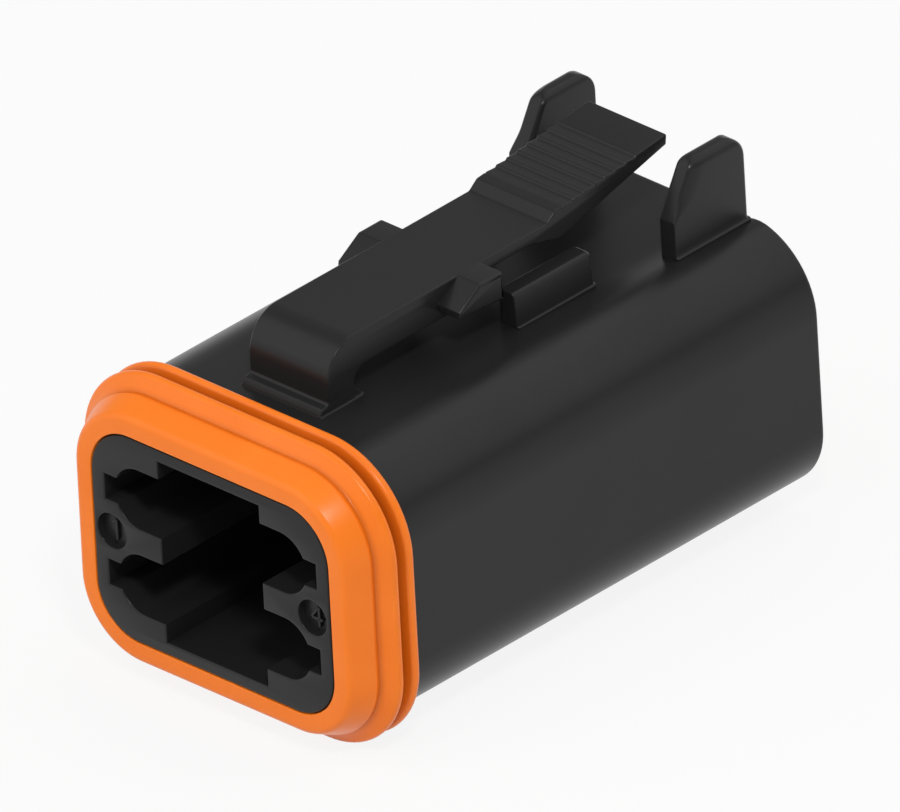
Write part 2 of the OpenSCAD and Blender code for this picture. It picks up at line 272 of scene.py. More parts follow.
@dataclass
class Skin:
    """Surfaces of one piece, gathered as whole arrays in the plug frame and built into one mesh."""

    points: list[Array] = field(default_factory=list)
    faces: list[NDArray[np.int64]] = field(default_factory=list)
    smooth: list[bool] = field(default_factory=list)
    count: int = 0

    def add(self, points: Array, faces: NDArray[np.int64], smooth: bool) -> None:
        """Keeps points and the faces between them.

        Args:
            points: Point positions, one row each.
            faces: Indices into points, one row per face.
            smooth: Whether the faces are shaded as one curved surface.
        """
        self.points.append(points)
        self.faces.append(faces + self.count)
        self.smooth.append(smooth)
        self.count += len(points)

    def grid(self, rows: Array, close_rows: bool = False) -> None:
        """Adds the surface through a grid of points whose columns close on themselves.

        Args:
            rows: Grid of shape (rows, columns, 3).
            close_rows: Whether the last row also joins the first.
        """
        high, wide = rows.shape[:2]
        i = np.arange(high if close_rows else high - 1)[:, None]
        j = np.arange(wide)[None, :]
        below, above = (i % high) * wide, ((i + 1) % high) * wide
        right = (j + 1) % wide
        quads = np.stack([below + j, below + right, above + right, above + j], axis=-1)
        self.add(rows.reshape(-1, 3), quads.reshape(-1, 4), True)

    def cap(self, outline: Array, holes: Sequence[Array] = ()) -> None:
        """Fills a flat outline, leaving its holes open.

        Args:
            outline: Outer loop, one row per point.
            holes: Inner loops.
        """
        loops = [outline, *holes]
        triangles = tessellate_polygon([[Vector(p) for p in loop] for loop in loops])
        self.add(np.vstack(loops), np.array(triangles, dtype=np.int64), False)

    def slab(self, outline: Array, lay: Lay, start: float, stop: float, soft: tuple[float, float]) -> None:
        """Extrudes an outline and rounds the rims of its two ends.

        Near an end the outline is inset by r (1 - sin t) while it moves r (1 - cos t) along, so each
        rim is a quarter round.

        Args:
            outline: Closed counter-clockwise outline.
            lay: Which way it is extruded.
            start: Where the extrusion starts.
            stop: Where it ends.
            soft: Radius of the rim at the start and at the end.
        """
        stations = [(start + along, depth) for along, depth in quarter_round(soft[0])]
        stations += [(start + soft[0] + RIM_BAND, 0.0), (stop - soft[1] - RIM_BAND, 0.0)]
        stations += [(stop - along, depth) for along, depth in reversed(quarter_round(soft[1]))]
        rows = np.stack([lay_out(inset(outline, depth), lay, place) for place, depth in stations])
        self.grid(rows)
        self.cap(rows[0])
        self.cap(rows[-1])

    def build(self, name: str, sharp: float = 38.0) -> bpy.types.Object:
        """Makes the mesh, closes its seams and turns its faces outwards.

        Args:
            name: Name of the new object.
            sharp: Angle in degrees over which an edge stays crisp.

        Returns:
            The object, at the origin, with its place in its mesh.
        """
        points = np.vstack(self.points) * MILLIMETRE
        points += np.array([0.0, -BODY_LENGTH / 2, AXIS_HEIGHT]) * MILLIMETRE
        sizes = np.concatenate([np.full(len(f), f.shape[1]) for f in self.faces])
        corners = np.concatenate([f.reshape(-1) for f in self.faces])
        smooth = np.concatenate([np.full(len(f), s) for f, s in zip(self.faces, self.smooth)])
        mesh = bpy.data.meshes.new(name)
        mesh.vertices.add(len(points))
        mesh.vertices.foreach_set("co", points.reshape(-1))
        mesh.loops.add(len(corners))
        mesh.loops.foreach_set("vertex_index", corners)
        mesh.polygons.add(len(sizes))
        mesh.polygons.foreach_set("loop_start", np.concatenate([[0], np.cumsum(sizes)[:-1]]))
        mesh.polygons.foreach_set("loop_total", sizes)
        mesh.update(calc_edges=True)
        mesh.polygons.foreach_set("use_smooth", smooth)
        work = bmesh.new()
        work.from_mesh(mesh)
        bmesh.ops.remove_doubles(work, verts=work.verts, dist=MERGE_GAP)
        bmesh.ops.dissolve_degenerate(work, edges=work.edges, dist=SHORT_EDGE)
        bmesh.ops.recalc_face_normals(work, faces=work.faces)
        work.to_mesh(mesh)
        work.free()
        mesh.set_sharp_from_angle(angle=math.radians(sharp))
        piece = bpy.data.objects.new(name, mesh)
        bpy.context.scene.collection.objects.link(piece)
        LOG.info("%s: %d faces", name, len(mesh.polygons))
        return piece


def fit(piece: bpy.types.Object, finish: bpy.types.Material, ride: Ride) -> bpy.types.Object:
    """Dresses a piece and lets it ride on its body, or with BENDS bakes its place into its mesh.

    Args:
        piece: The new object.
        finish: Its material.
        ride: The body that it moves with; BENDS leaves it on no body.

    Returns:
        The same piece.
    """
    piece.data.materials.append(finish)
    if ride is Ride.BENDS:
        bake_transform(piece)
    else:
        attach(piece, ride.value)
    return piece


# ---- finishes


@dataclass
class Wiring:
    """Short ways to add and join the nodes of one tree."""

    tree: bpy.types.NodeTree

    def feed(self, socket: bpy.types.NodeSocket, value: Any) -> None:
        """Links an output socket to an input, or gives the input a constant.

        Args:
            socket: The input's socket.
            value: An output socket or a constant.
        """
        if isinstance(value, bpy.types.NodeSocket):
            self.tree.links.new(value, socket)
        else:
            socket.default_value = value

    def node(self, kind: str, **inputs: Any) -> bpy.types.Node:
        """Adds a node and sets or links its inputs.

        Args:
            kind: Type of the node.
            **inputs: Values or output sockets by input name, with spaces written as underscores.

        Returns:
            The new node.
        """
        made = self.tree.nodes.new(kind)
        for key, value in inputs.items():
            self.feed(made.inputs[key.replace("_", " ")], value)
        return made

    def calculate(self, operation: str, *values: Any) -> bpy.types.NodeSocket:
        """Adds a Math node for the operation on values or output sockets, and gives its result.

        Args:
            operation: Blender's name of the operation.
            *values: Constants or output sockets.

        Returns:
            The result's socket.
        """
        made = self.tree.nodes.new("ShaderNodeMath")
        made.operation = operation
        for socket, value in zip(made.inputs, values):
            self.feed(socket, value)
        return made.outputs[0]

    def ramp(
        self,
        value: bpy.types.NodeSocket,
        span: tuple[float, float],
        onto: tuple[float, float],
        soft: bool = False,
    ) -> bpy.types.NodeSocket:
        """Maps a value from one span onto another.

        Args:
            value: The value's socket.
            span: Where the value starts and ends.
            onto: What the result is there.
            soft: Whether the ramp eases in and out.

        Returns:
            The result's socket.
        """
        ends = {"From_Min": span[0], "From_Max": span[1], "To_Min": onto[0], "To_Max": onto[1]}
        made = self.node("ShaderNodeMapRange", Value=value, **ends)
        made.interpolation_type = "SMOOTHSTEP" if soft else "LINEAR"
        return made.outputs["Result"]

    def blend(self, factor: bpy.types.NodeSocket, first: Any, second: Any) -> bpy.types.NodeSocket:
        """Mixes two colours by a factor.

        Args:
            factor: Share of the second colour.
            first: A colour's socket, or its red, green and blue.
            second: The other colour, given likewise.

        Returns:
            The mixed colour's socket.
        """
        mix = self.tree.nodes.new("ShaderNodeMix")
        mix.data_type = "RGBA"
        self.feed(mix.inputs[MIX_FACTOR], factor)
        for place, value in ((MIX_FIRST, first), (MIX_SECOND, second)):
            self.feed(mix.inputs[place], value if isinstance(value, bpy.types.NodeSocket) else (*value, 1.0))
        return mix.outputs[MIX_RESULT]

    def noise(self, scale: float, detail: float) -> bpy.types.NodeSocket:
        """Noise on Object coordinates, as a factor from 0 to 1.

        Args:
            scale: Cells to a metre.
            detail: Octaves of finer noise.

        Returns:
            The noise factor's socket.
        """
        place = self.node("ShaderNodeTexCoord").outputs["Object"]
        made = self.node("ShaderNodeTexNoise", Vector=place, Scale=scale, Detail=detail, Roughness=0.5)
        return made.outputs["Fac"]

    def band(self, centre: float, half: float, strength: float) -> bpy.types.NodeSocket:
        """Factor of a band across the plug's length, fading out softly to its two sides.

        Args:
            centre: The band's distance from the mating face in millimetres.
            half: Half of its width in millimetres.
            strength: The factor in its middle.

        Returns:
            The factor's socket.
        """
        place = self.node("ShaderNodeTexCoord").outputs["Object"]
        along = self.node("ShaderNodeSeparateXYZ", Vector=place).outputs["Y"]
        away = self.calculate("SUBTRACT", along, (centre - BODY_LENGTH / 2) * MILLIMETRE)
        size = self.calculate("ABSOLUTE", away)
        return self.ramp(size, (0.0, half * MILLIMETRE), (strength, 0.0), soft=True)


def blank_material(name: str) -> tuple[bpy.types.Material, Wiring, bpy.types.NodeSocket]:
    """Makes a material that holds nothing but its output.

    Args:
        name: Name of the material.

    Returns:
        The material, the wiring of its tree and the socket that takes its surface.
    """
    material = bpy.data.materials.new(name)
    material.use_nodes = True
    material.node_tree.nodes.clear()
    wiring = Wiring(material.node_tree)
    return material, wiring, wiring.node("ShaderNodeOutputMaterial").inputs["Surface"]


@dataclass(frozen=True)
class Finish:
    """A moulded surface with faint clouds of tone, fine grain and, where it asks, bands of painted shade.

    Scales are cells to a metre and heights are in metres. Each band of painted shade is (distance
    from the mating face, half width, strength), in millimetres, and blends in the painted shade colour.
    """

    name: str
    dark: Colour
    light: Colour
    roughness: tuple[float, float]
    specular: float
    cloud_scale: float
    cloud_detail: float
    grain_scale: float
    grain_height: float
    relief: float
    grain_detail: float = 2.0
    # Painted shade: its colour, and the bands across the plug's length where it is blended in.
    painted_shade: Colour = (0.0, 0.0, 0.0)
    painted_shade_bands: tuple[tuple[float, float, float], ...] = ()

    def material(self) -> bpy.types.Material:
        """Makes the node material.

        Returns:
            The material.
        """
        material, wiring, surface = blank_material(self.name)
        cloud = wiring.ramp(wiring.noise(self.cloud_scale, self.cloud_detail), NOISE_SPAN, (0.0, 1.0))
        colour = wiring.blend(cloud, self.dark, self.light)
        # Painted shade: over each band the colour darkens towards the painted shade colour, standing in for
        # shade.
        for painted_shade in self.painted_shade_bands:
            colour = wiring.blend(wiring.band(*painted_shade), colour, self.painted_shade)
        grain = wiring.noise(self.grain_scale, self.grain_detail)
        relief = wiring.node("ShaderNodeBump", Height=grain, Strength=self.relief, Distance=self.grain_height)
        body = wiring.node(
            "ShaderNodeBsdfPrincipled",
            Base_Color=colour,
            Roughness=wiring.ramp(grain, NOISE_SPAN, self.roughness),
            Specular_IOR_Level=self.specular,
            Normal=relief.outputs["Normal"],
        )
        wiring.tree.links.new(body.outputs["BSDF"], surface)
        return material


@dataclass(frozen=True)
class BlackMoulding(Finish):
    """Fine matte black nylon with the die's fine grain."""

    name: str = "black_moulding"
    dark: Colour = (0.0138, 0.0138, 0.0140)
    light: Colour = (0.0158, 0.0158, 0.0159)
    roughness: tuple[float, float] = (0.28, 0.33)
    specular: float = 0.21
    cloud_scale: float = 140.0
    cloud_detail: float = 4.0
    grain_scale: float = 9000.0
    grain_height: float = 0.000004
    relief: float = 0.25


@dataclass(frozen=True)
class OrangeSilicone(Finish):
    """Satin orange silicone rubber, slightly lighter where the colour pools."""

    name: str = "orange_silicone"
    dark: Colour = (0.87, 0.185, 0.008)
    light: Colour = (0.91, 0.205, 0.014)
    roughness: tuple[float, float] = (0.28, 0.35)
    specular: float = 0.26
    cloud_scale: float = 220.0
    cloud_detail: float = 3.0
    grain_scale: float = 7000.0
    grain_height: float = 0.000003
    relief: float = 0.2
    # Colour of the painted shade, for finishes that list bands of it.
    painted_shade: Colour = (0.24, 0.038, 0.003)


@dataclass(frozen=True)
class LippedSilicone(OrangeSilicone):
    """The same silicone, with painted shade between the lips and in the shallow valley before them."""

    name: str = "lipped_silicone"
    # Bands of painted shade in the groove between the lips and in the valley before them.
    painted_shade_bands: tuple[tuple[float, float, float], ...] = ((3.66, 0.55, 0.95), (2.08, 0.3, 0.4))


# ---- housing


@dataclass
class HousingShell:
    """The moulded body with its nose, mating cavity, contact bores and rear pocket, as one closed skin."""

    base_r: float = 5.1
    top_r_front: float = 5.2
    top_r_rear: float = 5.6
    corner_run: tuple[float, float] = (5.0, 40.0)
    nose_length: float = 4.9
    edge: float = 0.13
    edge_band: float = 0.05
    rim: float = 0.28
    rim_band: float = 0.1
    rim_steps: int = 6
    mouth_rim: float = 0.168
    mouth_band: float = 0.0336
    side_rings: int = 44
    slot_half: tuple[float, float] = (4.4, 6.6)
    lobe_r: float = 2.17
    lobe_points: int = 14
    key_end: float = 9.2
    key_half: float = 0.925
    cavity_depth: float = 14.0
    bore_r: float = 1.95
    recess_x: float = 8.72
    recess_r: float = 1.24
    recess_edge: float = 0.078
    recess_wall: float = 0.12
    recess_depth: float = 0.6
    channel_half: tuple[float, float] = (4.6, 8.4)
    channel_depth: float = 0.65
    channel_start: float = 9.0
    channel_skin: float = 1.2

    def section(self, y: float, depth: float) -> Array:
        """Body section at y, inset by depth, with the shallow channel sunk into its top.

        The channel sinks in step with y, over a width that fades out by a soft ramp, and less and
        less under the outer surface.

        Args:
            y: Distance from the mating face.
            depth: Distance inwards from the outer surface.

        Returns:
            The ring of points.
        """
        share = float(smooth_step(*self.corner_run, np.array(y)))
        top_r = self.top_r_front * (1 - share) + self.top_r_rear * share
        width, height = (size - 2 * depth for size in BODY_SIZE)
        ring = rounded_section(width, height, top_r - depth, self.base_r - depth)
        run = (y - self.channel_start) / (BODY_LENGTH - self.channel_start)
        sink = self.channel_depth * min(max(run, 0.0), 1.0) * max(0.0, 1.0 - depth / self.channel_skin)
        fade = 1.0 - smooth_step(*self.channel_half, np.abs(ring[:, 0]))
        ring[:, 1] -= sink * fade * (ring[:, 1] > 0)
        return lay_out(ring, Lay.ALONG, y)

    def stations(self) -> list[tuple[float, float]]:
        """Places (y, inset) of the body's rings, from the shoulder round the rear rim into the pocket.

        Returns:
            The places in order.
        """
        rim = quarter_round(self.rim, self.rim_steps)
        start = self.nose_length + self.rim + self.rim_band
        stop = BODY_LENGTH - self.rim - self.rim_band
        front = [(self.nose_length + along, depth) for along, depth in rim]
        side = [(y, 0.0) for y in np.linspace(start, stop, self.side_rings)]
        rear = [(BODY_LENGTH - along, depth) for along, depth in reversed(rim)]
        inner = quarter_round(self.mouth_rim, self.rim_steps)
        mouth = [(BODY_LENGTH - along, WALL - depth) for along, depth in inner]
        pocket = [(BODY_LENGTH - self.mouth_rim - self.mouth_band, WALL), (POCKET_FRONT, WALL)]
        return front + side + rear + mouth + pocket

    def nose_ring(self, y: float, depth: float) -> Array:
        """Ring of the nose at y, inset by depth.

        Args:
            y: Distance from the mating face.
            depth: Distance inwards from the nose's side.

        Returns:
            The ring of points.
        """
        width, height, r = NOSE_SIZE
        ring = rounded_section(width - 2 * depth, height - 2 * depth, r - depth, r - depth)
        return lay_out(ring, Lay.ALONG, y)

    def cavity(self) -> Array:
        """Outline of the mating cavity: middle slot, four round lobes and their side keyways.

        Returns:
            Points (x, z), counter-clockwise.
        """
        x, z, r = CONTACT_X, CONTACT_Z, self.lobe_r
        half_x, half_z = self.slot_half
        turn = math.degrees(math.asin(self.key_half / r))
        quarter = np.vstack([
            [(half_x, z - r)],
            arc((x, z), (r, r), -90.0, -turn, self.lobe_points),
            [(self.key_end, z - self.key_half), (self.key_end, z + self.key_half)],
            arc((x, z), (r, r), turn, 90.0, self.lobe_points),
            [(half_x, z + r), (half_x, half_z)],
        ])
        left = (quarter * (-1, 1))[::-1]
        return np.vstack([quarter, left, -quarter, -left])

    def opening(self, outline: Array, edge: float, wall: tuple[float, float]) -> Array:
        """Rings of an opening in the nose's face: a rounded edge of that radius, then a straight wall."""
        rounded = [lay_out(inset(outline, -depth), Lay.ALONG, y) for y, depth in quarter_round(edge)]
        return np.stack(rounded + [lay_out(outline, Lay.ALONG, y) for y in wall])

    def build(self) -> bpy.types.Object:
        """Builds the closed skin of the housing.

        Returns:
            The new object.
        """
        skin = Skin()
        straight = self.edge + self.edge_band
        nose = [self.nose_ring(y, depth) for y, depth in quarter_round(self.edge)]
        nose += [self.nose_ring(y, 0.0) for y in (straight, self.nose_length)]
        body = [self.section(y, depth) for y, depth in self.stations()]
        skin.grid(np.stack(nose + body))

        cavity = self.opening(self.cavity(), self.edge, (straight, self.cavity_depth))
        skin.grid(cavity)
        recesses = []
        for side in (-1.0, 1.0):
            circle = ring_of((side * self.recess_x, 0.0), self.recess_r)
            recess = self.opening(circle, self.recess_edge, (self.recess_wall, self.recess_depth))
            skin.grid(recess)
            skin.cap(recess[-1])
            recesses.append(recess[0])
        skin.cap(nose[0], [cavity[0], *recesses])

        bores = []
        for centre in CONTACT_PLACES:
            circle = ring_of(centre, self.bore_r)
            bore = [lay_out(circle, Lay.ALONG, y) for y in (self.cavity_depth, POCKET_FRONT)]
            skin.grid(np.stack(bore))
            bores.append(bore)
        skin.cap(cavity[-1], [bore[0] for bore in bores])
        skin.cap(body[-1], [bore[-1] for bore in bores])
        return skin.build("housing_shell")

    def dress(self, black: bpy.types.Material) -> None:
        """Puts the black shell on the plug, in place of the plain housing."""
        shell = fit(self.build(), black, Ride.PLUG)
        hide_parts("housing")


@dataclass
class Upright:
    """A wall that stands on the body, built as level rings between its base and its top.

    Side is -1 on the left and 1 on the right. Each corner holds the half-axes of its rounding.
    """

    name: str
    side: float
    inner: float
    outer: float
    front: float
    rear: float
    top: float
    base: float = 8.2
    ground: float = 9.45
    inner_ground: float = 9.2
    flare: float = 0.5
    top_soft: float = 0.14
    top_soft_outer: float = 0.14
    rear_r: float = 0.5
    lean_out: float = 0.0
    corner_front_outer: tuple[float, float] = (0.14, 0.14)
    corner_rear_outer: tuple[float, float] = (0.3, 0.3)
    corner_rear_inner: tuple[float, float] = (0.2, 0.2)
    corner_front_inner: tuple[float, float] = (0.12, 0.12)
    corner_share: float = 0.96
    corner_points: int = 11
    fillet_rings: int = 10
    side_rings: int = 16
    rim_rings: int = 12

    def front_at(self, z: float) -> float:
        """Where the front edge is at height z."""
        return self.front

    def outer_corner(self, z: float) -> tuple[float, float]:
        """Half-axes of the rounding of the front outer edge at height z."""
        return self.corner_front_outer

    def levels(self) -> list[float]:
        """Heights of the rings, crowded at the fillet and at the roundings of the top.

        Returns:
            The heights, from the base upwards.
        """
        low = np.linspace(self.inner_ground, self.ground + self.flare, self.fillet_rings)
        middle = np.linspace(self.ground + self.flare, self.top - self.rear_r, self.side_rings)[1:]
        rise = np.sin(np.radians(np.linspace(0.0, 90.0, self.rim_rings)))[1:]
        rims = [self.top - r + r * rise for r in (self.rear_r, self.top_soft, self.top_soft_outer)]
        return sorted({self.base, *low, *middle, *np.concatenate(rims)})

    def fillet_reach(self, height: float) -> float:
        """How far a quarter-round fillet of radius flare stands out at that height over the ground."""
        left = min(max(self.flare - height, 0.0), self.flare)
        return self.flare - math.sqrt(max(self.flare**2 - left**2, 0.0))

    def rim_draw(self, z: float, radius: float) -> float:
        """How far a quarter round of that radius under the top has drawn in at height z."""
        rise = min(max(z - (self.top - radius), 0.0), radius)
        return radius - math.sqrt(max(radius**2 - rise**2, 0.0))

    def ring(self, z: float) -> Array:
        """Level ring at height z: a rectangle with four elliptic corners.

        A quarter-round fillet widens it towards the body, and quarter rounds narrow it towards the
        top. Where it gets too narrow for its two front corners, all four shrink in step.

        Args:
            z: Height over the plug's axis.

        Returns:
            The ring of points.
        """
        spread = self.fillet_reach(z - self.ground)
        lean = self.lean_out * (self.top - z) / (self.top - self.ground)
        x0 = self.inner - self.fillet_reach(z - self.inner_ground) + self.rim_draw(z, self.top_soft)
        x1 = self.outer + lean + spread - self.rim_draw(z, self.top_soft_outer)
        y0 = self.front_at(z)
        y1 = self.rear + spread - self.rim_draw(z, self.rear_r)
        front_outer = self.outer_corner(z)
        keep = min(1.0, self.corner_share * (x1 - x0) / (front_outer[0] + self.corner_front_inner[0]))
        boxes = [
            (x1, y0, -1, 1, front_outer, -90.0), (x1, y1, -1, -1, self.corner_rear_outer, 0.0),
            (x0, y1, 1, -1, self.corner_rear_inner, 90.0), (x0, y0, 1, 1, self.corner_front_inner, 180.0),
        ]
        arcs = []
        for x, y, sx, sy, radii, turn in boxes:
            a, b = (r * keep for r in radii)
            arcs.append(arc((x + sx * a, y + sy * b), (a, b), turn, turn + 90.0, self.corner_points))
        flat = np.vstack(arcs)
        ring = np.column_stack([flat[:, 0] * self.side, flat[:, 1], np.full(len(flat), z)])
        return ring if self.side > 0 else ring[::-1]

    def build(self) -> bpy.types.Object:
        """Builds the closed wall.

        Returns:
            The new object.
        """
        rows = np.stack([self.ring(z) for z in self.levels()])
        skin = Skin()
        skin.grid(rows)
        skin.cap(rows[0])
        skin.cap(rows[-1])
        return skin.build(self.name)

    def dress(self, black: bpy.types.Material) -> None:
        """Puts the black wall on the plug."""
        fit(self.build(), black, Ride.PLUG)


@dataclass
class GuardFin(Upright):
    """Fin beside the thumb pad, with a sloping front that is broadly rounded on its outer edge."""

    inner: float = 5.75
    outer: float = 7.25
    front: float = 35.7
    rear: float = 42.4
    top: float = 15.66
    ground: float = 9.46
    inner_ground: float = 8.88
    flare: float = 0.16
    top_soft: float = 0.6
    top_soft_outer: float = 0.7
    rear_r: float = 1.6
    corner_rear_outer: tuple[float, float] = (0.35, 0.35)
    corner_front_inner: tuple[float, float] = (0.32, 0.4)
    bend: float = 12.0
    bend_band: float = 0.06
    slope: float = 2.1
    nose_r: float = 1.2
    nose_turn: tuple[float, float] = (20.0, 90.0)
    nose_rings: int = 14
    crisp: float = 0.12
    broad: tuple[float, float] = (0.5, 1.3)
    broad_span: tuple[float, float] = (-0.3, 1.5)

    def front_at(self, z: float) -> float:
        """Front edge: upright to the bend, then leaning back, then a quarter turn into the top.

        Args:
            z: Height over the plug's axis.

        Returns:
            Where the front edge is.
        """
        if z <= self.bend:
            return self.front
        rate = self.slope / (self.top - self.bend)
        lean = math.atan(rate)
        centre_z = self.top - self.nose_r
        centre_y = self.front + self.slope + self.nose_r * (1 - math.sin(lean)) / math.cos(lean)
        if z <= centre_z + self.nose_r * math.sin(lean):
            return self.front + (z - self.bend) * rate
        rise = min(z - centre_z, self.nose_r)
        return centre_y - math.sqrt(max(self.nose_r**2 - rise**2, 0.0))

    def outer_corner(self, z: float) -> tuple[float, float]:
        """Crisp edge under the bend, opening into a broad rounding up the slope.

        Args:
            z: Height over the plug's axis.

        Returns:
            Half-axes of the rounding.
        """
        low, high = (self.bend + away for away in self.broad_span)
        share = float(smooth_step(low, high, np.array(z)))
        return tuple(self.crisp + share * (wide - self.crisp) for wide in self.broad)

    def levels(self) -> list[float]:
        """Heights of the rings, with more of them round the bend and the front's turn into the top.

        Returns:
            The heights, from the base upwards.
        """
        turn = np.radians(np.linspace(*self.nose_turn, self.nose_rings))
        nose = self.top - self.nose_r + self.nose_r * np.sin(turn)
        return sorted({*super().levels(), *nose, self.bend, self.bend + self.bend_band})


@dataclass
class GuardRail(Upright):
    """Low rail beside the latch arm, wider at its foot on the outer side."""

    inner: float = 3.62
    outer: float = 4.95
    front: float = 23.3
    rear: float = 30.42
    top: float = 11.65
    ground: float = 9.3
    flare: float = 0.12
    top_soft: float = 0.12
    top_soft_outer: float = 0.26
    rear_r: float = 0.35
    lean_out: float = 0.22


@dataclass
class LatchRoot(Upright):
    """Small fillet on the body round the foot of the latch."""

    name: str = "latch_root"
    side: float = 1.0
    inner: float = -LATCH_HALF_WIDTH
    outer: float = LATCH_HALF_WIDTH
    front: float = 7.0
    rear: float = 11.0
    top: float = 9.6
    base: float = 8.4
    inner_ground: float = 9.45
    flare: float = 0.14
    top_soft: float = 0.05
    top_soft_outer: float = 0.05
    rear_r: float = 0.05


# ---- latch


@dataclass
class SnapLatch:
    """Latch arm with its foot, catch ears and ridged thumb pad, as one skin.

    Pairs hold a front and a rear value, apart from pad_belly, which is a point (y, z), and ear_soft,
    the rim radii at an ear's root and at its end.
    """

    half_width: float = LATCH_HALF_WIDTH
    top: float = 14.05
    under: float = 11.6
    web_under: float = 13.2
    web_rear: float = 26.6
    sunk: float = 8.4
    leg: tuple[float, float] = (7.8, 10.2)
    leg_foot: float = 10.08
    step_front: float = 6.9
    step_slope: float = 0.32
    step_low: float = 9.40
    step_top: float = 9.95
    toe: tuple[float, float] = (9.50, 9.38)
    toe_length: float = 0.9
    toe_draft: float = 0.05
    ear: tuple[float, float] = (18.0, 22.1)
    ear_reach: float = 5.35
    ear_root: float = 0.4
    ear_under: tuple[float, float] = (12.33, 12.0)
    ear_nose: float = 12.82
    ear_ramp: float = 2.0
    ear_below_arm: float = 0.003
    ear_soft: tuple[float, float] = (0.02, 0.24)
    pad: tuple[float, float] = (28.9, 39.3)
    pad_top: float = 14.63
    pad_rise: float = 1.0
    pad_throat: float = 0.75
    pad_start: float = 0.45
    pad_belly: tuple[float, float] = (29.25, 12.5)
    pad_tip: float = 0.75
    pad_tip_draft: float = 0.1
    plain_end: float = 37.0
    ridge_lead: float = 0.5
    ridge_margin: float = 0.16
    ridge_first: float = 29.7
    ridge_pitch: float = 0.957
    ridge_count: int = 8
    ridge_height: float = 0.12
    ridge_riser: float = 0.18
    ridge_points: int = 150
    edge: float = 0.14

    def on_pad(self, y: float) -> tuple[float, float]:
        """Point (y, z) on the straight top of the thumb pad."""
        return y, self.pad_top + self.pad_rise * (y - self.pad[0]) / (self.pad[1] - self.pad[0])

    def ridged_top(self) -> Array:
        """Top of the thumb pad from its rear end forwards.

        The top is a rising straight line less a saw wave. Each tooth climbs over a short soft riser
        and then falls away evenly to the foot of the next. In front of the first riser and behind
        the last one the top is plain.

        Returns:
            Points (y, z).
        """
        riser, half = self.ridge_riser, self.ridge_riser / 2
        last = self.ridge_first + (self.ridge_count - 1) * self.ridge_pitch
        y = np.linspace(last + self.ridge_margin, self.pad[0] + self.ridge_lead, self.ridge_points)
        phase = ((y - self.ridge_first) / self.ridge_pitch + half) % 1.0
        saw = np.where(phase < riser, smooth_step(0.0, riser, phase), 1.0 - (phase - riser) / (1.0 - riser))
        saw = np.where(y > last, np.maximum(saw, smooth_step(last - half, last + half, y)), saw)
        saw = np.where(y < self.ridge_first - half, 1.0, saw)
        rise = self.pad_rise / (self.pad[1] - self.pad[0])
        return np.column_stack([y, self.pad_top + rise * (y - self.pad[0]) - self.ridge_height * (1.0 - saw)])

    def outline(self) -> Array:
        """Side outline of foot, leg, arm and pad, from corners (y, z, radius).

        Returns:
            Points (y, z).
        """
        front, rear = self.leg
        toe = rear + self.toe_length
        tip = self.pad_top + self.pad_rise
        underside = fillet([
            (self.step_front, self.sunk, 0.0),
            (toe + self.toe_draft, self.sunk, 0.0),
            (toe, self.toe[1], 0.05),
            (rear, self.toe[0], 0.45),
            (rear, self.under, 1.1),
            (self.ear[1], self.under, 0.12),
            (self.ear[1], self.web_under, 0.25),
            (self.web_rear, self.web_under, 1.5),
            (*self.pad_belly, 1.4),
            (self.pad[1] - self.pad_tip_draft, tip - self.pad_tip, 0.12),
            (self.pad[1], tip, 0.12),
            (*self.on_pad(self.plain_end), 0.0),
        ])
        upper_side = fillet([
            (*self.on_pad(self.pad[0] + self.pad_start), 0.0),
            (*self.on_pad(self.pad[0]), 0.3),
            (self.pad[0] - self.pad_throat, self.top, 0.4),
            (front, self.top, 2.6),
            (front, self.leg_foot, 0.26),
            (self.step_front + self.step_slope, self.step_top, 0.2),
            (self.step_front, self.step_low, 0.1),
            (self.step_front, self.sunk, 0.0),
        ], 17)
        return tidy(np.vstack([underside, self.ridged_top(), upper_side]))

    def ear_outline(self) -> Array:
        """Side outline of an ear: front ramp, flat top, upright rear face and sloping underside.

        Returns:
            Points (y, z).
        """
        front, rear = self.ear
        top = self.top - self.ear_below_arm
        return fillet([
            (front, self.ear_under[0], 0.08), (rear, self.ear_under[1], 0.1), (rear, top, 0.14),
            (front + self.ear_ramp, top, 0.35), (front, self.ear_nose, 0.08),
        ])

    def build(self) -> bpy.types.Object:
        """Builds the arm and its two ears.

        Returns:
            The new object.
        """
        skin = Skin()
        skin.slab(self.outline(), Lay.ACROSS, -self.half_width, self.half_width, (self.edge, self.edge))
        root = self.half_width - self.ear_root
        skin.slab(self.ear_outline(), Lay.ACROSS, -self.ear_reach, -root, self.ear_soft[::-1])
        skin.slab(self.ear_outline(), Lay.ACROSS, root, self.ear_reach, self.ear_soft)
        return skin.build("snap_latch", 32.0)

    def dress(self, black: bpy.types.Material) -> None:
        """Puts the black latch in place of the plain lever."""
        latch = fit(self.build(), black, Ride.BENDS)
        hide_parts("latch_lever")


# ---- seals


